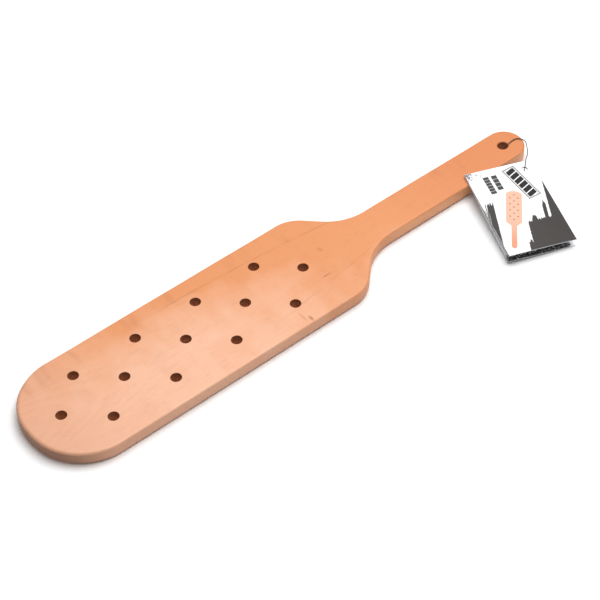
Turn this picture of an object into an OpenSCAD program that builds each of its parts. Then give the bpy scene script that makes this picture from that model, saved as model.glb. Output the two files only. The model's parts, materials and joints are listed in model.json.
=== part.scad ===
// Perforated wooden paddle with a folded card tag on a cord.
// +X runs to the handle's end, +Y across the blade, +Z up. The origin is on the
// surface that the paddle lies on, below the middle of the board.

/* [Board] */
// Length of the board from the blade's tip to the handle's end
board_l = 473; // [460:1:490]
// Width of the blade
blade_w = 96.5; // [94:0.5:98]
// Width of the handle
handle_w = 32.5; // [32:0.5:34]
// Thickness of the board
board_t = 11; // [10:0.5:12]

/* [Blade outline] */
// Radius of the tip's gentle crown
tip_r = 80; // [70:1:120]
// Radius of the tip's two corners
corner_r = 45; // [38:1:46]
// Distance from the handle's end to where the shoulder starts to turn in
shoulder_back = 212; // [206:1:222]
// Radius of the shoulder's outer curve
shoulder_r = 28; // [22:1:32]
// Radius of the hollow curve into the neck
neck_r = 45; // [38:1:50]
// Angle of the straight run between the two curves, from the blade's side
shoulder_angle = 45; // [42:1:48]

/* [Holes] */
// Diameter of the blade's holes and of the hang hole
hole_d = 8.5; // [7:0.5:9]
// Distance between two neighbouring holes of a row
hole_pitch = 55.5; // [54:0.5:57]
// Distance between two rows of holes
row_gap = 25; // [23:0.5:27]
// Distance from the handle's end to the blade's middle hole
pattern_back = 334.75; // [332:0.25:337]
// Distance from the handle's end to the middle of the hang hole
hang_back = 18; // [17:0.5:19]

/* [Tag] */
// Width of the folded card tag, along its fold
tag_w = 56; // [55:0.5:58]
// Length of each leaf, from the fold to its free edge
tag_l = 90; // [86:0.5:90]
// Thickness of the card
card_t = 0.45; // [0.35:0.05:0.5]
// Diameter of the hole punched through both leaves
punch_d = 5; // [5:0.1:5.4]
// Angle at which the folded card springs open at rest
spring_angle = 4; // [3:0.5:5]

/* [Cord] */
// Diameter of the tag's cord
cord_d = 0.8; // [0.6:0.1:0.8]
// Diameter of the knot that joins the cord's two ends
knot_d = 2.6; // [2.2:0.1:3]

/* [Hidden] */
$fn = 96;

// Heights: the loop of cord passes under the handle, so the board lies on it.
board_z = cord_d + 0.1;
face_z = board_z + board_t;
over = 1;

// Places along the board
end_x = board_l / 2;
half_w = blade_w / 2;
grip_w = handle_w / 2;
shoulder_x = end_x - shoulder_back;
pattern_x = end_x - pattern_back;
hang_x = end_x - hang_back;

// Tip: the corner circles touch the crown circle from inside and the blade's sides.
crown_x = tip_r - end_x;
corner_y = half_w - corner_r;
corner_x = crown_x - sqrt(pow(tip_r - corner_r, 2) - pow(corner_y, 2));
crown_angle = atan2(corner_y, corner_x - crown_x);

// Shoulder: a round, a straight run and a hollow that meet without a corner.
run_drop = half_w - grip_w - (shoulder_r + neck_r) * (1 - cos(shoulder_angle));
neck_x = shoulder_x + (shoulder_r + neck_r) * sin(shoulder_angle) + run_drop / tan(shoulder_angle);
arc_step = 3;

// Tag: the place of the fold's blade-side end, the tag's turn and slope, and the
// punched hole's distance from the corner. The tag leans on the handle's edge and
// its lowest corner rests on the surface.
fold_at = [end_x - 65.9, -7, face_z + 1.9];
tag_turn = -20;
tag_slope = 7.3;
punch_in = [8, 8.5];
leaf_gap = 0.1;
fold_relief = 0.3;

// Cord: a closed loop. It leaves the knot on the surface under the tag, passes
// below the handle, comes up through the hang hole, runs over the handle's end,
// arches down through both leaves and comes back to the knot.
cord_low = cord_d / 2 + 0.05;
cord_sides = 8;
cord_steps = 3;
knot_at = [206, -40.5, knot_d / 2];
CORD = [
    [205.5, -40, 1.2], [206.5, -36, cord_low], [209, -29, cord_low], [211.5, -22, cord_low],
    [213.5, -15, cord_low], [215.3, -8.5, cord_low], [216.6, -4, cord_low], [217.5, -1.4, 1.6],
    [217.8, -1, 4.5], [217.7, -1.8, 8], [218.4, -2.6, 11], [220.5, -2.8, 12.9],
    [224, -2.2, 13], [228, -1.6, 12.8], [232, -2.4, 12.8], [234.4, -6, 12.8],
    [233.8, -10.5, 13.2], [230, -15.5, 14.5], [225.5, -21, 16.8], [220.2, -26, 18.7],
    [216.2, -28.7, 18.7], [214, -30.5, 16.6], [213.2, -31.1, 13.8], [212.8, -31, 10.6],
    [212.5, -31.5, 7.5], [211, -34, 4], [207.5, -38.5, 1.6]
];

// A point at fraction t of the way from b to c, on a smooth curve through a, b, c, d.
function blend4(a, b, c, d, t) =
    0.5 * (2 * b + (c - a) * t + (2 * a - 5 * b + 4 * c - d) * t * t
        + (3 * b - a - 3 * c + d) * t * t * t);
function at(list, i) = list[max(0, min(len(list) - 1, i))];
function smooth(list, steps) = [
    for (i = [0 : len(list) - 2], k = [0 : steps - 1])
        blend4(at(list, i - 1), list[i], list[i + 1], at(list, i + 2), k / steps),
    list[len(list) - 1]
];
function unit(v) = v / norm(v);
function heading(path, i) = unit(at(path, i + 1) - at(path, i - 1));
// The sideways direction of each ring is carried along the path without twist.
function carried(path, i, side) = unit(side - (side * heading(path, i)) * heading(path, i));
function sides_of(path, i = 0, side = [0, 0, 1], done = []) =
    i == len(path) ? done
    : let (s = carried(path, i, side)) sides_of(path, i + 1, s, concat(done, [s]));

// A round tube along a path of points.
module tube(path, d, sides) {
    side = sides_of(path);
    last = len(path) - 1;
    points = [
        for (i = [0 : last], k = [0 : sides - 1])
            let (up = cross(heading(path, i), side[i]), a = 360 * (k + 0.5) / sides)
                path[i] + d / 2 * (cos(a) * side[i] + sin(a) * up)
    ];
    walls = [
        for (i = [0 : last - 1], k = [0 : sides - 1])
            let (n = (k + 1) % sides)
                [i * sides + k, (i + 1) * sides + k, (i + 1) * sides + n, i * sides + n]
    ];
    start_cap = [[for (k = [0 : sides - 1]) k]];
    end_cap = [[for (k = [sides - 1 : -1 : 0]) last * sides + k]];
    polyhedron(points, concat(walls, start_cap, end_cap), convexity = 6);
}

// Points along an arc, from one angle to another.
function arc(middle, r, from, to) =
    let (n = ceil(abs(to - from) / arc_step))
        [for (k = [0 : n]) let (a = from + (to - from) * k / n) middle + r * [cos(a), sin(a)]];

// The board's outline: one side from the tip to the handle's end, then its mirror image.
module board_outline() {
    side = concat(
        arc([crown_x, 0], tip_r, 180, crown_angle),
        arc([corner_x, corner_y], corner_r, crown_angle, 90),
        arc([shoulder_x, half_w - shoulder_r], shoulder_r, 90, 90 - shoulder_angle),
        arc([neck_x, grip_w + neck_r], neck_r, 270 - shoulder_angle, 270),
        arc([end_x - grip_w, 0], grip_w, 90, 0)
    );
    inner = [for (i = [len(side) - 2 : -1 : 1]) [side[i].x, -side[i].y]];
    polygon(concat(side, inner));
}

module drilled(x, y) {
    translate([x, y, board_z - over]) cylinder(h = board_t + 2 * over, d = hole_d);
}

// Three staggered rows: five holes along the middle and four on each side.
module blade_holes() {
    for (i = [-2 : 2]) drilled(pattern_x + i * hole_pitch, 0);
    for (i = [-1.5 : 1.5], side = [-1, 1]) drilled(pattern_x + i * hole_pitch, side * row_gap);
}

module wooden_board() {
    color([0.93, 0.68, 0.49]) difference() {
        translate([0, 0, board_z]) linear_extrude(board_t) board_outline();
        blade_holes();
        drilled(hang_x, 0);
    }
}

// Places its children in the tag's own axes: +X along the fold, -Y down the leaf.
module in_tag() {
    translate(fold_at) rotate([tag_slope, 0, 0]) rotate([0, 0, tag_turn]) children();
}

module card_leaf() {
    difference() {
        translate([0, -tag_l, 0]) cube([tag_w, tag_l - fold_relief, card_t]);
        translate([tag_w - punch_in.x, -punch_in.y, -over]) cylinder(h = card_t + 2 * over, d = punch_d, $fn = 48);
    }
}

module tag_back_leaf() {
    color([0.92, 0.92, 0.93]) in_tag() translate([0, 0, -card_t]) card_leaf();
}

module tag_front_leaf() {
    color([0.97, 0.97, 0.97]) in_tag() rotate([-spring_angle, 0, 0]) translate([0, 0, leaf_gap]) card_leaf();
}

module tag_cord() {
    color([0.1, 0.1, 0.1]) tube(smooth(CORD, cord_steps), cord_d, cord_sides);
}

module cord_knot() {
    color([0.1, 0.1, 0.1]) translate(knot_at) sphere(d = knot_d, $fn = 32);
}

wooden_board();
tag_back_leaf();
tag_front_leaf();
tag_cord();
cord_knot();
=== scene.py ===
"""The looks of the perforated wooden paddle and its card tag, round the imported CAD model."""
import json
import math

import bmesh
import bpy
from mathutils import Matrix, Quaternion, Vector, noise
from mathutils.geometry import delaunay_2d_cdt


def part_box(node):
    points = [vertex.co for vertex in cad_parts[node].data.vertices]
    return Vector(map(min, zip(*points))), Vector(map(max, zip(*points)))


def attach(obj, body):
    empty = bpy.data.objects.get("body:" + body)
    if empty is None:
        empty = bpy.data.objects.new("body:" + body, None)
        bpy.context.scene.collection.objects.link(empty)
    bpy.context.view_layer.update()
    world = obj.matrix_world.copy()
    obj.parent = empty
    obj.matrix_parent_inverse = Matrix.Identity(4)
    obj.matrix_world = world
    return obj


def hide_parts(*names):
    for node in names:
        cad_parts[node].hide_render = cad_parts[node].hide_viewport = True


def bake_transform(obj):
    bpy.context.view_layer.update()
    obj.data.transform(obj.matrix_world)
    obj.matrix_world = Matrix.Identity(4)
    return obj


MM = 0.001

# The photograph's view: the point of the board's upper face that it is centred on, in mm
# from the board's middle, and where the camera stands.
AIM_X = -10.3
AIM_Y = -24.6
CAMERA_AZIMUTH = -37.70
CAMERA_ELEVATION = 47.04
CAMERA_ROLL = -2.27
CAMERA_DISTANCE = 1.5255
LENS = 123.2
SENSOR = 36.0

# The board's outline, in mm, as in part.scad. Its length, the blade's width and the thickness
# come from the frame.
TIP_R = 80.0
CORNER_R = 45.0
SHOULDER_BACK = 212.0
SHOULDER_R = 28.0
NECK_R = 45.0
SHOULDER_ANGLE = 45.0
HANDLE_W = 32.5

# The rounding of the board's edges and of its holes' rims, in mm, which only this script has.
# HAND_SPREAD and TIP_EXTRA_ROUND are fractions of EDGE_ROUND: how much it varies along the
# edge, and how much is added at the tip, past TIP_ROUND_FROM and over TIP_ROUND_RUN.
EDGE_ROUND = 1.8
HAND_SPREAD = 0.22
TIP_EXTRA_ROUND = 0.5
TIP_ROUND_FROM = -195.0
TIP_ROUND_RUN = 20.0
RIM_ROUND = 0.4
HANG_RIM_ROUND = 1.1
OUTLINE_STEP = 6.0

# The tag, in mm, in its own axes: +X along the fold, -Y down the leaves, +Z out of the front.
TAG_W = 56.0
TAG_L = 90.0
CARD_T = 0.45
LEAF_GAP = 0.1
FOLD_RELIEF = 0.3
PUNCH_D = 5.0
PUNCH_X = 48.0
PUNCH_Y = -8.5
PUNCH_MARGIN = 1.2
SPRING_ANGLE = 4.0
FRONT_BOW = 0.25
BACK_BOW = -0.15

# Half the width of the soft edge of the tag's fine and broad printed shapes, in mm.
FINE_INK = 0.12
BROAD_INK = 0.25

# The cord's route, in mm, as in part.scad. It is a closed loop that starts and ends at the knot.
CORD_D = 0.8
CORD_LOW = CORD_D / 2 + 0.05
CORD = [
    (205.5, -40, 1.2), (206.5, -36, CORD_LOW), (209, -29, CORD_LOW), (211.5, -22, CORD_LOW),
    (213.5, -15, CORD_LOW), (215.3, -8.5, CORD_LOW), (216.6, -4, CORD_LOW), (217.5, -1.4, 1.6),
    (217.8, -1, 4.5), (217.7, -1.8, 8), (218.4, -2.6, 11), (220.5, -2.8, 12.9),
    (224, -2.2, 13), (228, -1.6, 12.8), (232, -2.4, 12.8), (234.4, -6, 12.8),
    (233.8, -10.5, 13.2), (230, -15.5, 14.5), (225.5, -21, 16.8), (220.2, -26, 18.7),
    (216.2, -28.7, 18.7), (214, -30.5, 16.6), (213.2, -31.1, 13.8), (212.8, -31, 10.6),
    (212.5, -31.5, 7.5), (211, -34, 4), (207.5, -38.5, 1.6),
]

# The cord's twist and the shape of its knot, in mm, which only this script has. PLY_OFFSET is
# the fraction of the cord's radius that each ply's middle is off the cord's.
CORD_PITCH = 2.4
PLY_OFFSET = 0.32
KNOT_STRAND = 0.38
KNOT_SIZE = 0.36

# The light of the studio and its white floor.
ROOM_LIGHT = 0.26
LAMP_PLACE = (0.8, 0.12, 2.4)
LAMP_AIM = (0.1, 0.0, 0.0)
LAMP_SIZE = 2.4
LAMP_POWER = 82
FLOOR_HALF = 3.0

# Material slots, in the order in which build_board and build_leaf give the materials.
DRILLED = 1
CARD_TOP, CARD_UNDER, CARD_CUT = 0, 1, 2


# ---------------------------------------------------------------- geometry helpers

def make_object(name, bm, materials, smooth=True):
    """A mesh object from bm, which is freed, with its materials in slot order."""
    mesh = bpy.data.meshes.new(name)
    bmesh.ops.recalc_face_normals(bm, faces=bm.faces)
    for face in bm.faces:
        face.smooth = smooth
    bm.to_mesh(mesh)
    bm.free()
    for material in materials:
        mesh.materials.append(material)
    made = bpy.data.objects.new(name, mesh)
    bpy.context.scene.collection.objects.link(made)
    return made


def steady_normals(thing):
    """Lets the large flat faces set the shading where they meet a rounded edge."""
    weighted = thing.modifiers.new("steady normals", "WEIGHTED_NORMAL")
    weighted.weight = 100
    weighted.keep_sharp = True


def on_arc(middle, radius, start, end, count):
    """count + 1 pairs of a point and its outward direction, from start to end in degrees."""
    pairs = []
    for k in range(count + 1):
        angle = math.radians(start + (end - start) * k / count)
        out = Vector((math.cos(angle), math.sin(angle)))
        pairs.append((Vector(middle) + radius * out, out))
    return pairs


def blend4(a, b, c, d, t):
    """The point at fraction t of the way from b to c, on a smooth curve through a, b, c and d."""
    return 0.5 * (2 * b + (c - a) * t + (2 * a - 5 * b + 4 * c - d) * t * t
                  + (3 * b - a - 3 * c + d) * t ** 3)


def smooth_route(points, steps):
    """A smooth curve through the points, which are in mm, as vectors in metres."""
    line = [Vector(p) * MM for p in points]
    last = len(line) - 1
    route = []
    for i in range(last):
        near = [line[max(0, min(last, i + k))] for k in (-1, 0, 1, 2)]
        route += [blend4(*near, k / steps) for k in range(steps)]
    return route + [line[last]]


def evenly(route, step):
    """The route again, with its points about step apart."""
    made = [route[0].copy()]
    spare = 0.0
    for a, b in zip(route, route[1:]):
        length = (b - a).length
        at = step - spare
        while at <= length:
            made.append(a.lerp(b, at / length))
            at += step
        spare = length - (at - step)
    return made


def tube(bm, route, radius_at, sides):
    """A tube with closed ends. radius_at(distance along it, angle round it) is its radius."""
    side = Vector((0, 0, 1))
    rings = []
    travelled = 0.0
    for i, point in enumerate(route):
        heading = (route[min(i + 1, len(route) - 1)] - route[max(i - 1, 0)]).normalized()
        side = (side - side.dot(heading) * heading).normalized()
        across = heading.cross(side)
        if i:
            travelled += (point - route[i - 1]).length
        ring = []
        for k in range(sides):
            angle = math.tau * k / sides
            radius = radius_at(travelled, angle)
            out = math.cos(angle) * side + math.sin(angle) * across
            ring.append(bm.verts.new(point + radius * out))
        rings.append(ring)
    skin(bm, rings)
    for ring, flip in ((rings[0], 1), (rings[-1], -1)):
        bm.faces.new(ring[::flip])


def skin(bm, rings, material=0):
    """Joins each closed ring of points to the next one."""
    for lower, upper in zip(rings, rings[1:]):
        for k in range(len(lower)):
            n = (k + 1) % len(lower)
            face = bm.faces.new((lower[k], lower[n], upper[n], upper[k]))
            face.material_index = material


def fill(bm, loops, spare_points=(), height=lambda x, y: 0.0, material=0):
    """Fills the flat region inside the first loop with triangles. The other loops stay open."""
    corners = [v for loop in loops for v in loop]
    loop_of = [k for k, loop in enumerate(loops) for _ in loop]
    edges = []
    start = 0
    for loop in loops:
        edges += [(start + k, start + (k + 1) % len(loop)) for k in range(len(loop))]
        start += len(loop)
    flat = [v.co.xy for v in corners] + [Vector(p) for p in spare_points]
    inside_only, tolerance = 1, 1e-7
    _, _, faces, origins, _, _ = delaunay_2d_cdt(flat, edges, [], inside_only, tolerance)
    verts = corners + [bm.verts.new((x, y, height(x, y))) for x, y in spare_points]
    loop_of += [-1] * len(spare_points)
    for corner_set in faces:
        picked = [origins[k][0] for k in corner_set]
        around = {loop_of[k] for k in picked}
        if len(around) == 1 and around.pop() > 0:
            continue  # inside a hole
        bm.faces.new([verts[k] for k in picked]).material_index = material


# ---------------------------------------------------------------- material helpers

class Field:
    """A number that varies over a surface. Arithmetic on it adds Math nodes to its tree."""

    def __init__(self, tree, socket):
        self.tree = tree
        self.socket = socket

    def math(self, operation, *others):
        node = self.tree.nodes.new("ShaderNodeMath")
        node.operation = operation
        for value, socket in zip((self, *others), node.inputs):
            put(value, socket)
        return Field(self.tree, node.outputs[0])

    def __add__(self, other):
        return self.math("ADD", other)

    def __sub__(self, other):
        return self.math("SUBTRACT", other)

    def __mul__(self, other):
        return self.math("MULTIPLY", other)

    def __neg__(self):
        return self.math("MULTIPLY", -1.0)

    __radd__ = __add__
    __rmul__ = __mul__

    def __rsub__(self, other):
        return -self + other

    def size(self):
        return self.math("ABSOLUTE")

    def least(self, other):
        return self.math("MINIMUM", other)

    def most(self, other):
        return self.math("MAXIMUM", other)

    def rise(self, low, high):
        """0 below low and 1 above high, with a smooth step between. high may be below low."""
        node = self.tree.nodes.new("ShaderNodeMapRange")
        node.interpolation_type = "SMOOTHSTEP"
        put(self, node.inputs["Value"])
        if low < high:
            node.inputs["From Min"].default_value = low
            node.inputs["From Max"].default_value = high
            return Field(self.tree, node.outputs["Result"])
        node.inputs["From Min"].default_value = high
        node.inputs["From Max"].default_value = low
        return 1.0 - Field(self.tree, node.outputs["Result"])

    def near(self, centre, reach):
        """1 at the centre value, falling smoothly to 0 at reach on both sides of it."""
        return (self - centre).size().rise(reach, 0.0)


def put(value, socket):
    """Sets a socket to a number or colour, or links a Field or another socket to it."""
    if isinstance(value, Field):
        value.tree.links.new(value.socket, socket)
    elif isinstance(value, bpy.types.NodeSocket):
        socket.id_data.links.new(value, socket)
    elif isinstance(value, tuple):
        socket.default_value = (*value, 1.0)
    else:
        socket.default_value = value


def srgb(red, green, blue):
    """A colour as it is seen in a picture, 0 to 255, as linear light."""
    return tuple(c / 12.92 if c <= 0.04045 else ((c + 0.055) / 1.055) ** 2.4
                 for c in (red / 255, green / 255, blue / 255))


def mixed(factor, first, second):
    """The colour between first and second, as a socket."""
    node = factor.tree.nodes.new("ShaderNodeMix")
    node.data_type = "RGBA"
    put(factor, node.inputs[0])
    put(first, node.inputs[6])
    put(second, node.inputs[7])
    return node.outputs[2]


def new_material(name):
    """A new material, and its tree and shader."""
    material = bpy.data.materials.new(name)
    material.use_nodes = True
    tree = material.node_tree
    return material, tree, tree.nodes["Principled BSDF"]


def place_in_mm(tree):
    """The point on the surface in the object's own axes, in mm, as a vector socket."""
    where = tree.nodes.new("ShaderNodeTexCoord")
    scaled = tree.nodes.new("ShaderNodeVectorMath")
    scaled.operation = "SCALE"
    tree.links.new(where.outputs["Object"], scaled.inputs[0])
    scaled.inputs["Scale"].default_value = 1 / MM
    return scaled.outputs[0]


def axes_of(tree, vector):
    """The three parts of a vector socket as Fields."""
    split = tree.nodes.new("ShaderNodeSeparateXYZ")
    tree.links.new(vector, split.inputs[0])
    return [Field(tree, s) for s in split.outputs]


def joined(x, y, z):
    """A vector socket from three Fields or numbers, of which x is a Field."""
    node = x.tree.nodes.new("ShaderNodeCombineXYZ")
    for value, socket in zip((x, y, z), node.inputs):
        put(value, socket)
    return node.outputs[0]


def grain(x, y, z, per_x, per_y, per_z, detail=3.0, roughness=0.5):
    """Noise from 0 to 1, with that many features per mm along each axis."""
    node = x.tree.nodes.new("ShaderNodeTexNoise")
    node.inputs["Scale"].default_value = 1.0
    node.inputs["Detail"].default_value = detail
    node.inputs["Roughness"].default_value = roughness
    x.tree.links.new(joined(x * per_x, y * per_y, z * per_z), node.inputs["Vector"])
    return Field(x.tree, node.outputs["Fac"])


def bumped(shader, height, distance):
    """Gives the shader a bump from a height Field, distance in metres at height 1."""
    node = height.tree.nodes.new("ShaderNodeBump")
    node.inputs["Strength"].default_value = 1.0
    node.inputs["Distance"].default_value = distance
    put(height, node.inputs["Height"])
    put(node.outputs[0], shader.inputs["Normal"])


# ---------------------------------------------------------------- camera, light and floor

def place_camera(face_z):
    """The camera where the photographer stood, without shift or depth of field."""
    azimuth, elevation = math.radians(CAMERA_AZIMUTH), math.radians(CAMERA_ELEVATION)
    back = Vector((math.sin(azimuth) * math.cos(elevation),
                   -math.cos(azimuth) * math.cos(elevation),
                   math.sin(elevation)))
    lens = bpy.data.cameras.new("camera")
    lens.lens = LENS
    lens.sensor_width = SENSOR
    lens.clip_end = 20
    camera = bpy.data.objects.new("camera", lens)
    camera.location = Vector((AIM_X * MM, AIM_Y * MM, face_z)) + CAMERA_DISTANCE * back
    camera.rotation_mode = "QUATERNION"
    roll = Quaternion((0, 0, 1), math.radians(CAMERA_ROLL))
    camera.rotation_quaternion = (-back).to_track_quat("-Z", "Y") @ roll
    bpy.context.scene.collection.objects.link(camera)
    bpy.context.scene.camera = camera


def soft_light(name, place, aim, size, power):
    """A square white softbox of that size in metres, turned to its aim."""
    lamp = bpy.data.lights.new(name, "AREA")
    lamp.shape = "SQUARE"
    lamp.size = size
    lamp.energy = power
    made = bpy.data.objects.new(name, lamp)
    made.location = place
    made.rotation_mode = "QUATERNION"
    made.rotation_quaternion = (Vector(aim) - Vector(place)).to_track_quat("-Z", "Y")
    bpy.context.scene.collection.objects.link(made)


def light_studio():
    """A wide softbox overhead, towards the handle's end, in a dim white room."""
    world = bpy.data.worlds.new("studio")
    world.use_nodes = True
    background = world.node_tree.nodes["Background"]
    background.inputs["Color"].default_value = (1, 1, 1, 1)
    background.inputs["Strength"].default_value = ROOM_LIGHT
    bpy.context.scene.world = world
    bpy.context.scene.view_settings.view_transform = "Standard"
    soft_light("overhead", LAMP_PLACE, LAMP_AIM, LAMP_SIZE, LAMP_POWER)


def lay_floor():
    """A plain white table top under the paddle."""
    bm = bmesh.new()
    bmesh.ops.create_grid(bm, x_segments=8, y_segments=8, size=FLOOR_HALF)
    material, tree, shader = new_material("white table")
    x, y, z = axes_of(tree, place_in_mm(tree))
    mottle = grain(x, y, z, 0.01, 0.01, 0.01)
    put(mixed(mottle, (0.95, 0.95, 0.95), (0.96, 0.96, 0.965)), shader.inputs["Base Color"])
    shader.inputs["Roughness"].default_value = 0.6
    shader.inputs["Specular IOR Level"].default_value = 0.2
    make_object("table", bm, [material], smooth=False)


# ---------------------------------------------------------------- cord

def cord_material():
    """Black waxed cotton, with fine fibres and a little sheen."""
    material, tree, shader = new_material("black cord")
    x, y, z = axes_of(tree, place_in_mm(tree))
    fibres = grain(x, y, z, 6.0, 6.0, 6.0, detail=4.0, roughness=0.7)
    dyed = mixed(fibres.rise(0.35, 0.7), (0.006, 0.006, 0.007), (0.03, 0.028, 0.03))
    put(dyed, shader.inputs["Base Color"])
    put(0.45 + fibres * 0.3, shader.inputs["Roughness"])
    shader.inputs["Sheen Weight"].default_value = 0.25
    shader.inputs["Sheen Roughness"].default_value = 0.4
    bumped(shader, fibres, 0.00005)
    return material


def two_ply(radius):
    """The radius of a cord of two twisted plies, round it and along it, in metres."""
    offset = PLY_OFFSET * radius
    ply = radius - offset

    def radius_at(travelled, angle):
        turned = angle - math.tau * travelled / (CORD_PITCH * MM)
        across = offset * math.sin(turned)
        return offset * abs(math.cos(turned)) + math.sqrt(ply ** 2 - across ** 2)

    return radius_at


def build_cord(material):
    """The cord's loop, under the handle, up through the hang hole and down through the tag."""
    route = evenly(smooth_route(CORD, 16), 0.22 * MM)
    bm = bmesh.new()
    tube(bm, route, two_ply(CORD_D / 2 * MM), 16)
    made = make_object("cord_loop", bm, [material])
    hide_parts("tag_cord")
    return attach(made, "cord"), route


def build_knot(material):
    """The overhand knot that closes the loop, with its two short tails on the table."""
    low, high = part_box("cord_knot")
    middle = (low + high) / 2
    strand = KNOT_STRAND * MM
    size = KNOT_SIZE * MM
    around = 96
    bm = bmesh.new()
    ball = []
    for k in range(around + 1):
        t = math.tau * k / around
        ball.append(middle + size * Vector((math.sin(t) + 2 * math.sin(2 * t),
                                            math.cos(t) - 2 * math.cos(2 * t),
                                            -1.6 * math.sin(3 * t))))
    tube(bm, ball, two_ply(strand), 12)
    flat_z = CORD_D / 2 * MM
    for across, down in ((-2.6, -5.2), (1.9, -6.1)):
        tail = [middle, middle + Vector((across * 0.25, down * 0.25, -0.5)) * MM,
                Vector((middle.x + across * 0.6 * MM, middle.y + down * 0.6 * MM, flat_z)),
                Vector((middle.x + across * MM, middle.y + down * MM, flat_z))]
        tube(bm, evenly(smooth_route([p / MM for p in tail], 10), 0.25 * MM), two_ply(strand), 12)
    made = make_object("knot", bm, [material])
    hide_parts("cord_knot")
    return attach(made, "cord")


# ---------------------------------------------------------------- wood

def wood_lines(x, y):
    """How far a point is outside the two dark growth lines that run in towards the neck, in mm."""
    far = y - (35.0 - 0.00045 * (x + 95.0) * (x + 95.0))
    near = (-27.0 + 0.145 * x) - y
    return far, near


def wood_tone(x, y, z):
    """From 0 in the blade's pale middle to 1 in the deep orange of the handle and far edge."""
    drift = grain(x, y, z, 0.012, 0.03, 0.03, detail=2.0) - 0.5
    along = (x + drift * 90.0).rise(-130.0, 82.0)
    across = (y + drift * 25.0 + (x + 100.0) * 0.06).rise(-22.0, 46.0)
    far, _ = wood_lines(x, y)
    outside = (far + drift * 16.0).rise(-9.0, 5.0) * x.rise(-215.0, -110.0)
    flame = grain(x, y, z, 0.055, 0.035, 0.03, detail=3.0).rise(0.35, 0.7) - 0.5
    return (along * 0.85 + across * 0.62 + outside * 0.34 + flame * 0.24).least(1.0)


def wood_figure(x, y, z):
    """How much the growth lines, cross bands and marks darken the wood, about 0 to 1."""
    wave = grain(x, y, z, 0.02, 0.05, 0.05, detail=2.0) - 0.5
    far, near = wood_lines(x, y + wave * 3.0)
    broken = grain(x, y, z, 0.05, 0.4, 0.2, detail=3.0).rise(0.3, 0.65)
    before_neck = x.rise(78.0, 55.0)
    dark = far.near(0.0, 1.3) * broken * x.rise(-125.0, -80.0) * before_neck * 0.6
    dark = dark + near.near(0.0, 1.2) * broken * x.rise(-60.0, -20.0) * before_neck * 0.45
    curl = grain(x, y, z, 0.075, 0.012, 0.02, detail=2.0).rise(0.52, 0.75)
    dark = dark + curl * (far.rise(-5.0, 4.0) * 0.36 + 0.08)
    loops = x + (y - 2.0) * (y - 2.0) * 0.085 + wave * 16.0
    pale = loops.near(-173.0, 5.0) + loops.near(-196.0, 4.0) * 0.6
    rings = (loops * 0.3).math("SINE") * 0.5 + 0.5
    dark = dark + rings * x.rise(-60.0, -170.0) * 0.06 - pale * x.rise(-110.0, -150.0) * 0.2
    return dark


def wood_marks(x, y, z):
    """The board's few small dark marks: a bark fleck by the neck, stains and an edge mark."""
    ragged = grain(x, y, z, 0.12, 0.05, 0.05, detail=4.0, roughness=0.6) - 0.5
    patchy = grain(x, y, z, 0.25, 0.1, 0.1, detail=3.0).rise(0.3, 0.6)
    marks = [  # middle along and across the board, reach along and across it, strength
        (21.5, -18.0, 4.4, 0.9, 2.6), (34.5, 6.5, 2.2, 2.6, 0.7), (-15.5, -44.0, 1.5, 3.4, 1.5),
        (-19.5, -39.0, 0.9, 6.0, 0.7), (-170.0, 40.0, 3.4, 11.0, 0.45),
        (-116.0, 39.0, 3.6, 13.0, 0.4), (-84.0, 41.0, 3.0, 9.0, 0.25),
        (38.0, -31.0, 1.4, 4.0, 0.25), (-16.0, 30.0, 1.5, 20.0, 0.2),
        (17.5, 34.0, 1.5, 16.0, 0.15), (-115.0, -6.5, 4.0, 1.2, 0.2),
        (-70.0, -43.0, 1.5, 3.0, 0.2),
    ]
    total = x * 0.0
    for mark_x, mark_y, reach_x, reach_y, strength in marks:
        off_x = (x - mark_x) * (1 / reach_x)
        off_y = (y - mark_y) * (1 / reach_y)
        distance = (off_x * off_x + off_y * off_y).math("SQRT") + ragged * 1.4
        total = total + distance.rise(1.3, 0.1) * strength
    return total * (patchy * 0.7 + 0.3)


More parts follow.
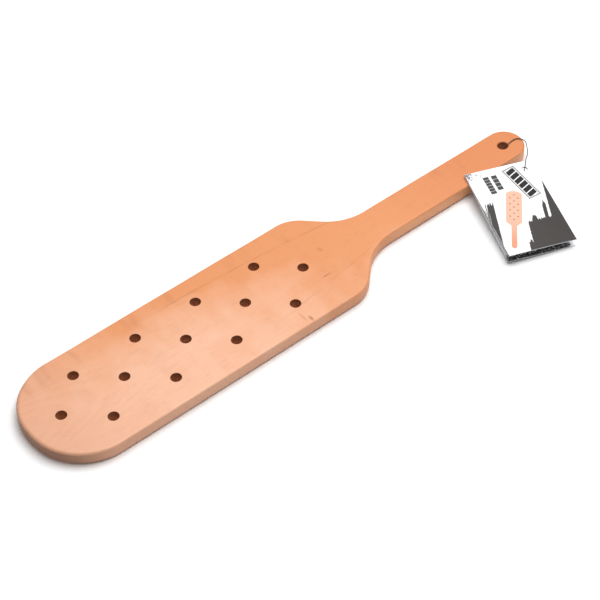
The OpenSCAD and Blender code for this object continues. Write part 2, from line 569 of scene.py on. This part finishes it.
def wood_material():
    """Pale reddish hardwood under a thin satin lacquer, its grain running along the board, with
    painted shade and light on its walls.
    """
    material, tree, shader = new_material("lacquered wood")
    x, y, z = axes_of(tree, place_in_mm(tree))
    fibres = grain(x, y, z, 0.035, 1.1, 1.1, detail=5.0, roughness=0.6)
    pores = grain(x, y, z, 0.22, 3.2, 3.2, detail=2.0).rise(0.6, 0.78)
    tone = wood_tone(x, y, z)
    base = mixed(tone, srgb(235, 180, 147), srgb(221, 142, 86))
    base = mixed(x.rise(75.0, 200.0) * 0.9, base, srgb(213, 128, 72))
    pink = x.rise(-150.0, -235.0)
    base = mixed(pink * 0.75, base, srgb(220, 161, 127))
    shade = wood_figure(x, y, z) * 0.55 + wood_marks(x, y, z) * 0.55
    shade = shade + fibres.rise(0.42, 0.75) * 0.05 + pores * 0.12
    flecks = grain(x, y, z, 0.10, 0.35, 0.3, detail=4.0, roughness=0.65).rise(0.5, 0.72)
    shade = (shade + flecks * 0.10).least(1.0)
    base = mixed(shade, base, srgb(168, 92, 50))
    surface = tree.nodes.new("ShaderNodeNewGeometry")
    facing_x, _, up = axes_of(tree, surface.outputs["Normal"])
    side = up.size().rise(0.75, 0.2)
    tip_end_grain_and_shade = (-facing_x).rise(0.1, 1.0)
    # The walls are painted darker: mostly painted shade from the lamp overhead, a little for end
    # grain taking more finish.
    base = mixed(side * 0.22, base, srgb(170, 118, 84))
    # Painted light: the handle's walls are made lighter and paler than its lit top.
    base = mixed(side * x.rise(60.0, 110.0) * 0.5, base, srgb(245, 182, 134))
    # The walls facing the tip are painted dark brown: partly the end grain's darker finish, mostly
    # painted shade on the side away from the lamp.
    put(mixed(side * tip_end_grain_and_shade * 0.8, base, srgb(126, 80, 57)), shader.inputs["Base Color"])
    put(0.4 + fibres * 0.16 + side * 0.08, shader.inputs["Roughness"])
    shader.inputs["Coat Weight"].default_value = 0.1
    shader.inputs["Coat Roughness"].default_value = 0.3
    bumped(shader, fibres * 0.7 - pores * 0.5, 0.00002)
    return material


def drilled_material():
    """The holes' walls: bare wood with fine tool rings, with painted shade darker towards the
    upper face.
    """
    material, tree, shader = new_material("drilled wood")
    x, y, z = axes_of(tree, place_in_mm(tree))
    rings = grain(x, y, z, 0.15, 0.15, 4.0, detail=2.0)
    fibres = grain(x, y, z, 0.3, 1.5, 1.5, detail=3.0)
    bare = mixed(rings * 0.5 + fibres * 0.5, srgb(172, 108, 68), srgb(220, 156, 110))
    # Painted shade: the walls are darker towards the upper face.
    put(mixed(z.rise(5.0, 11.0) * 0.6, bare, srgb(120, 64, 34)), shader.inputs["Base Color"])
    put(0.65 + fibres * 0.2, shader.inputs["Roughness"])
    bumped(shader, rings + fibres * 0.5, 0.00008)
    return material


def board_outline(end_x, half_w):
    """Points and outward directions in mm, from the tip by the far side and round to it again."""
    grip = HANDLE_W / 2
    crown_x = TIP_R - end_x
    corner_y = half_w - CORNER_R
    corner_x = crown_x - math.sqrt((TIP_R - CORNER_R) ** 2 - corner_y ** 2)
    crown_angle = math.degrees(math.atan2(corner_y, corner_x - crown_x))
    shoulder_x = end_x - SHOULDER_BACK
    slant = math.radians(SHOULDER_ANGLE)
    run_drop = half_w - grip - (SHOULDER_R + NECK_R) * (1 - math.cos(slant))
    neck_x = shoulder_x + (SHOULDER_R + NECK_R) * math.sin(slant) + run_drop / math.tan(slant)
    arcs = [
        on_arc((crown_x, 0), TIP_R, 180, crown_angle, 8),
        on_arc((corner_x, corner_y), CORNER_R, crown_angle, 90, 28),
        on_arc((shoulder_x, half_w - SHOULDER_R), SHOULDER_R, 90, 90 - SHOULDER_ANGLE, 14),
        [(p, -out) for p, out in
         on_arc((neck_x, grip + NECK_R), NECK_R, 270 - SHOULDER_ANGLE, 270, 20)],
        on_arc((end_x - grip, 0), grip, 90, 0, 28),
    ]
    side = list(arcs[0])
    for arc in arcs[1:]:
        (a, out), (b, _) = side[-1], arc[0]
        gaps = max(1, math.ceil((b - a).length / OUTLINE_STEP))
        side += [(a.lerp(b, k / gaps), out) for k in range(1, gaps)]
        touching = (b - a).length < 0.01
        side += arc[1:] if touching else arc
    mirror = [(Vector((p.x, -p.y)), Vector((out.x, -out.y))) for p, out in side[-2:0:-1]]
    return side + mirror


def edge_profile(low_z, high_z, rounding, steps):
    """Pairs of inset and height up a wall whose two edges are rounded, in mm."""
    curve = [math.radians(90 * k / steps) for k in range(steps + 1)]
    lower = [(rounding * (1 - math.sin(a)), low_z + rounding * (1 - math.cos(a))) for a in curve]
    upper = [(rounding * (1 - math.cos(a)), high_z - rounding * (1 - math.sin(a))) for a in curve]
    return lower + upper


def board_rings(bm, outline, low_z, high_z):
    """The board's rounded edge, varied a little as by hand sanding, and rounder at the tip."""
    middle_z = (low_z + high_z) / 2
    rings = []
    for inset, height in edge_profile(low_z, high_z, EDGE_ROUND, 6):
        edge_z = high_z if height > middle_z else low_z
        ring = []
        for point, out in outline:
            hand = 1.0 + HAND_SPREAD * noise.noise(Vector((point.x * 0.03, point.y * 0.03, 0.0)))
            at_tip = min(1.0, max(0.0, (TIP_ROUND_FROM - point.x) / TIP_ROUND_RUN))
            hand += TIP_EXTRA_ROUND * at_tip
            place = point - out * inset * hand
            z = edge_z + (height - edge_z) * hand if inset > 0 else height
            ring.append(bm.verts.new((place.x * MM, place.y * MM, z * MM)))
        rings.append(ring)
    skin(bm, rings)
    return rings[0], rings[-1]


def hole_rings(bm, x, y, radius, rim, low_z, high_z):
    """One drilled hole's wall and eased rims. Returns its loops in the lower and upper face."""
    around = 48
    rings = []
    for inset, height in edge_profile(low_z, high_z, rim, 4):
        loop = []
        for k in range(around):
            angle = math.tau * k / around
            reach = radius + inset
            loop.append(bm.verts.new(((x + reach * math.cos(angle)) * MM,
                                      (y + reach * math.sin(angle)) * MM, height * MM)))
        rings.append(loop)
    half = len(rings) // 2
    skin(bm, rings[:half])
    skin(bm, rings[half - 1:half + 1], material=DRILLED)
    skin(bm, rings[half:])
    return rings[0], rings[-1]


def hole_places(record):
    """The thirteen holes and the hang hole, from the mounts: x, y, radius, rim rounding, in mm."""
    mounts = {m["name"]: m for m in record["mounts"]}
    corners = mounts["blade_corner_holes"]["dims"]
    middle_x = mounts["blade_middle_hole"]["pos_m"][0] / MM
    radius = mounts["blade_middle_hole"]["dims"]["r_mm"]
    pitch = corners["spacing_x_mm"] / 3
    row = corners["spacing_y_mm"] / 2
    holes = [(middle_x + i * pitch, 0.0, radius, RIM_ROUND) for i in (-2, -1, 0, 1, 2)]
    holes += [(middle_x + i * pitch, side * row, radius, RIM_ROUND)
              for i in (-1.5, -0.5, 0.5, 1.5) for side in (-1, 1)]
    hang = mounts["hang_hole"]
    hang_x, hang_y = hang["pos_m"][0] / MM, hang["pos_m"][1] / MM
    return holes + [(hang_x, hang_y, hang["dims"]["r_mm"], HANG_RIM_ROUND)]


def build_board(record):
    """The one-piece board with its rounded edges and eased holes."""
    low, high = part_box("wooden_board")
    low_z, high_z = low.z / MM, high.z / MM
    bm = bmesh.new()
    under, over = board_rings(bm, board_outline(high.x / MM, high.y / MM), low_z, high_z)
    under_loops, over_loops = [under], [over]
    for hole in hole_places(record):
        lower, upper = hole_rings(bm, *hole, low_z, high_z)
        under_loops.append(lower)
        over_loops.append(upper)
    fill(bm, under_loops)
    fill(bm, over_loops)
    made = make_object("board", bm, [wood_material(), drilled_material()])
    steady_normals(made)
    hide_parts("wooden_board")
    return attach(made, "board")


# ---------------------------------------------------------------- tag

def tag_place(record):
    """The tag's own axes in the frame. Its X axis runs along the fold, against the hinge's."""
    joints = {j["name"]: j for j in record["behaviour"]["joints"]}
    hinge = joints["tag_fold"]
    along = -Vector(hinge["axis"]).normalized()
    normal = Vector(joints["tag_swivel"]["axis"]).normalized()
    up = normal.cross(along).normalized()
    turn = Matrix((along, up, normal)).transposed().to_4x4()
    return Matrix.Translation(Vector(hinge["pos_m"])) @ turn


def leaf_mesh(bm, low_z, bow):
    """A card leaf with its punched hole. bow(x, y) is its height off its flat place, in mm."""
    def ring(z, points):
        return [bm.verts.new((x * MM, y * MM, (z + bow(x, y)) * MM)) for x, y in points]

    steps_x, steps_y = 14, 22
    top, bottom = -FOLD_RELIEF, -TAG_L
    xs = [TAG_W * k / steps_x for k in range(steps_x + 1)]
    ys = [bottom + (top - bottom) * k / steps_y for k in range(steps_y + 1)]
    edge = ([(x, bottom) for x in xs] + [(TAG_W, y) for y in ys[1:]]
            + [(x, top) for x in xs[-2::-1]] + [(0.0, y) for y in ys[-2:0:-1]])
    around = 40
    punch = [(PUNCH_X + PUNCH_D / 2 * math.cos(math.tau * k / around),
              PUNCH_Y + PUNCH_D / 2 * math.sin(math.tau * k / around)) for k in range(around)]
    clear = PUNCH_D / 2 + PUNCH_MARGIN
    inner = [(x * MM, y * MM) for x in xs[1:-1] for y in ys[1:-1]
             if math.hypot(x - PUNCH_X, y - PUNCH_Y) > clear]
    loops = {}
    for level, material in ((low_z, CARD_UNDER), (low_z + CARD_T, CARD_TOP)):
        loops[level] = ring(level, edge), ring(level, punch)

        def height(x, y, level=level):
            return (level + bow(x / MM, y / MM)) * MM

        fill(bm, loops[level], inner, height, material)
    for k in (0, 1):
        skin(bm, [loops[low_z][k], loops[low_z + CARD_T][k]], material=CARD_CUT)


def crisp_walls(thing):
    """Keeps the card's cut edges crisp against its smooth faces."""
    mesh = thing.data
    for face in mesh.polygons:
        if face.material_index == CARD_CUT:
            face.use_smooth = False
            for corner in face.loop_indices:
                mesh.edges[mesh.loops[corner].edge_index].use_edge_sharp = True


def card_stock(name, coat):
    """White card with a trace of fibre: its material, shader, place in mm, and the fibre."""
    material, tree, shader = new_material(name)
    x, y, z = axes_of(tree, place_in_mm(tree))
    pulp = grain(x, y, z, 1.6, 1.6, 1.6, detail=4.0, roughness=0.6)
    bumped(shader, pulp, 0.00001)
    put(0.32 + pulp * 0.12, shader.inputs["Roughness"])
    shader.inputs["Coat Weight"].default_value = coat
    shader.inputs["Coat Roughness"].default_value = 0.2
    return material, shader, (x, y, z), pulp


def plain_card():
    """The card's unprinted faces and cut edges."""
    material, shader, _, pulp = card_stock("plain card", 0.0)
    put(mixed(pulp, srgb(236, 235, 238), srgb(248, 247, 247)), shader.inputs["Base Color"])
    return material


def tilted(x, y, centre_x, centre_y, tilt):
    """The place across and down a shape that is turned by tilt degrees, in mm from its centre."""
    c, s = math.cos(math.radians(tilt)), math.sin(math.radians(tilt))
    off_x, off_y = x - centre_x, y - centre_y
    return off_x * c - off_y * s, off_x * s + off_y * c


def inked(depth, half_blur):
    """1 where depth, in mm inside a printed shape's edge, is above 0, and 0 outside it."""
    return depth.rise(-half_blur, half_blur)


def box_mask(across, down, half_w, half_h):
    """1 inside a rectangle and 0 outside it."""
    return inked((half_w - across.size()).least(half_h - down.size()), FINE_INK)


def dark_brush(x, y, z):
    """The dark print: overlapping ragged strokes at the lower right, and a dry one at the left."""
    lean = 0.22
    across = x + (y - 60.0) * lean
    streak = grain(across, y, z, 0.9, 0.1, 0.1, detail=4.0, roughness=0.65) - 0.5
    rag = grain(across, y, z, 1.6, 1.0, 0.5, detail=4.0, roughness=0.7) - 0.5
    strokes = [  # middle and half width across, top, and how steeply the top falls to its sides
        (60.0, 12.2, 17.0, 0.0), (44.2, 1.6, 42.0, 5.0), (46.0, 18.0, 61.5, 0.0),
        (34.1, 2.4, 54.5, 2.5), (26.6, 2.1, 79.0, 2.0),
    ]
    inside = x * 0.0 - 1.0
    for middle, half_w, top, steepness in strokes:
        off = (across + rag * 1.8 - middle).size()
        below = y - top - off * steepness + streak * 9.0 + rag * 4.0
        inside = inside.most((half_w - off).least(below))
    block = inked(inside, BROAD_INK)
    dry = grain(across, y, z, 1.5, 0.05, 0.1, detail=5.0, roughness=0.6)
    worn = dry - (across + 4.0) * 0.055
    stroke = worn.rise(0.47, 0.37) * (across + rag * 1.5).rise(4.4, 4.0)
    stroke = stroke * (y - 35.0 + streak * 16.0).rise(-0.4, 0.6)
    return block.most(stroke)


def corner_smudge(x, y, z):
    """The worn grey print at the fold's blade-side corner."""
    blot = grain(x, y, z, 0.7, 0.7, 0.7, detail=5.0, roughness=0.7)
    fade = (x * x * 0.7 + y * y).math("SQRT")
    return (blot - fade * 0.019).rise(0.33, 0.45)


def badge(x, y):
    """A plain badge in place of the maker's: a thin double frame round slanting bars."""
    across, down = tilted(x, y, 39.6, 21.0, 14.8)
    outer = box_mask(across, down, 5.7, 17.9) - box_mask(across, down, 5.1, 17.3)
    inner = box_mask(across, down, 4.8, 17.0) - box_mask(across, down, 4.45, 16.65)
    pitch = 5.4
    slanted = down + across * 0.25
    phase = (slanted * (1 / pitch)).math("FRACT")
    bars = phase.near(0.5, 0.48).rise(0.01, 0.08)
    return outer + inner * 0.85 + bars * box_mask(across, down, 4.0, 16.2)


def caption(x, y):
    """Two rows of plain blocks in place of the printed words."""
    rows = [(21.5, 15.7, 2.3, 8.2, 4.1), (14.7, 17.0, 2.4, 9.5, 3.17)]
    total = x * 0.0
    for row_x, row_y, half_w, half_h, pitch in rows:
        across, down = tilted(x, y, row_x, row_y, 1.0)
        phase = ((down + half_h) * (1 / pitch)).math("FRACT")
        blocks = phase.near(0.5, 0.5).rise(0.0, 0.03)
        total = total + box_mask(across, down, half_w, half_h) * blocks
    return total


def small_picture(x, y):
    """The tag's little picture of the paddle: masks of its shape, its handle end and its holes."""
    across, down = tilted(x, y, 30.2, 28.0, -22.7)
    blade_half, blade_len, grip_half, whole = 6.3, 33.0, 2.2, 61.0
    tip = across * across * 0.07
    blade = (blade_half - across.size()).least(down - tip).least(blade_len - down)
    neck = (blade_half + blade_len - 1.0) - down - across.size()
    blade = blade.least(neck + 1.5)
    grip = grip_half + (blade_len + 4.5 - down).most(0.0) - across.size()
    grip = grip.least(down - blade_len + 1.0)
    grip = grip.least(whole - down - across * across * 0.4).least(blade_half - across.size())
    shape = inked(blade.most(grip), BROAD_INK)
    dots = x * 0.0
    for i in range(9):
        row = 0.0 if i % 2 == 0 else 3.1
        off_down = down - (4.2 + i * 3.3)
        off_across = across.size() - row
        dots = dots + (off_down * off_down + off_across * off_across).rise(0.8, 0.2)
    return shape, down.rise(26.0, 58.0), dots


def front_print():
    """The front leaf's printed face."""
    material, shader, (x, up, z), pulp = card_stock("front print", 0.05)
    shader.inputs["Specular IOR Level"].default_value = 0.2
    y = -up
    colour = mixed(pulp, srgb(249, 249, 250), srgb(254, 254, 254))
    ink = dark_brush(x, y, z)
    mottled = grain(x, y, z, 0.05, 0.05, 0.05)
    dark = mixed(mottled, srgb(50, 46, 44), srgb(62, 58, 55))
    colour = mixed(ink, colour, dark)
    colour = mixed(corner_smudge(x, y, z) * 0.9, colour, srgb(92, 82, 96))
    colour = mixed(caption(x, y), colour, srgb(62, 61, 62))
    shape, towards_end, dots = small_picture(x, y)
    wood = mixed(towards_end, srgb(236, 184, 158), srgb(226, 152, 118))
    colour = mixed(shape, colour, wood)
    colour = mixed(dots * shape * 0.9, colour, srgb(168, 96, 74))
    colour = mixed(badge(x, y), colour, srgb(14, 13, 13))
    put(colour, shader.inputs["Base Color"])
    return material


def back_print():
    """The back leaf's inner face: white, with a worn black strip along the free edge."""
    material, shader, (x, up, z), pulp = card_stock("back print", 0.15)
    y = -up
    blot = grain(x, y, z, 0.55, 0.8, 0.5, detail=6.0, roughness=0.75)
    edge = (y - 84.0).rise(-3.0, 2.5)
    ink = (blot + edge * 0.16 - (x - 50.0).most(0.0) * 0.05).rise(0.54, 0.62) * edge
    colour = mixed(pulp, srgb(233, 233, 238), srgb(244, 244, 247))
    put(mixed(ink, colour, srgb(26, 24, 26)), shader.inputs["Base Color"])
    return material


def outer_print():
    """The back leaf's outer face: white, with one dry dark stroke along the free edge."""
    material, shader, (x, up, z), pulp = card_stock("outer print", 0.3)
    y = -up
    dry = grain(x, y, z, 0.05, 1.2, 0.1, detail=5.0, roughness=0.6)
    ink = (dry + (y - 84.0) * 0.05).rise(0.5, 0.6) * y.rise(70.0, 78.0)
    colour = mixed(pulp, srgb(245, 245, 247), srgb(252, 252, 253))
    put(mixed(ink, colour, srgb(62, 58, 56)), shader.inputs["Base Color"])
    return material


def build_leaf(name, node, body, place, low_z, bow, materials):
    """One leaf of the tag in its place, riding on its body."""
    bm = bmesh.new()
    leaf_mesh(bm, low_z, bow)
    made = make_object(name, bm, materials)
    crisp_walls(made)
    made.matrix_world = place
    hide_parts(node)
    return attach(made, body)


def build_fold(place, material):
    """The card's rolled fold between the two leaves."""
    centre_y, centre_z = -FOLD_RELIEF, LEAF_GAP / 2
    outer = CARD_T + LEAF_GAP / 2
    inner = LEAF_GAP / 2
    columns, turns = 28, 12
    bm = bmesh.new()
    rings = []
    for i in range(columns + 1):
        x = TAG_W * i / columns
        ring = []
        for radius, order in ((outer, 1), (inner, -1)):
            for k in range(turns + 1)[::order]:
                angle = math.pi * (k / turns - 0.5)
                ring.append(bm.verts.new((x * MM, (centre_y + radius * math.cos(angle)) * MM,
                                          (centre_z + radius * math.sin(angle)) * MM)))
        rings.append(ring)
    skin(bm, rings)
    for ring in (rings[0], rings[-1]):
        for k in range(turns):
            bm.faces.new((ring[k], ring[k + 1], ring[-2 - k], ring[-1 - k]))
    made = make_object("tag_fold_roll", bm, [material])
    made.matrix_world = place
    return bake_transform(made)


def build_tag(record):
    """The folded card tag: two leaves and the roll of the fold between them."""
    place = tag_place(record)
    opened = place @ Matrix.Rotation(math.radians(-SPRING_ANGLE), 4, "X")

    def bowed(most):
        return lambda x, y: most * (y / TAG_L) ** 2 * math.sin(math.pi * x / TAG_W)

    plain = plain_card()
    build_leaf("back_leaf", "tag_back_leaf", "back_leaf", place, -CARD_T, bowed(BACK_BOW),
               [back_print(), outer_print(), plain])
    build_leaf("front_leaf", "tag_front_leaf", "front_leaf", opened, LEAF_GAP, bowed(FRONT_BOW),
               [front_print(), plain, plain])
    build_fold(place, plain)


# ---------------------------------------------------------------- the scene

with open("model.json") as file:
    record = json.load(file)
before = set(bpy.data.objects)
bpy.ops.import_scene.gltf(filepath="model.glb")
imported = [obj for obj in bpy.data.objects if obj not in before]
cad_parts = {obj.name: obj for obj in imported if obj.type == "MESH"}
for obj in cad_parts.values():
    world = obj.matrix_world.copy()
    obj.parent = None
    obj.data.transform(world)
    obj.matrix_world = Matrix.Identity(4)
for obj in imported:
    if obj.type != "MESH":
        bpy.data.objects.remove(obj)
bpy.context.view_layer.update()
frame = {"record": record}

place_camera(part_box("wooden_board")[1].z)
black = cord_material()
cord_loop, cord_route = build_cord(black)
knot = build_knot(black)
tuple(cord_route[0])
[tuple(p) for p in cord_route]
build_board(frame["record"])
build_tag(frame["record"])
light_studio()
lay_floor()
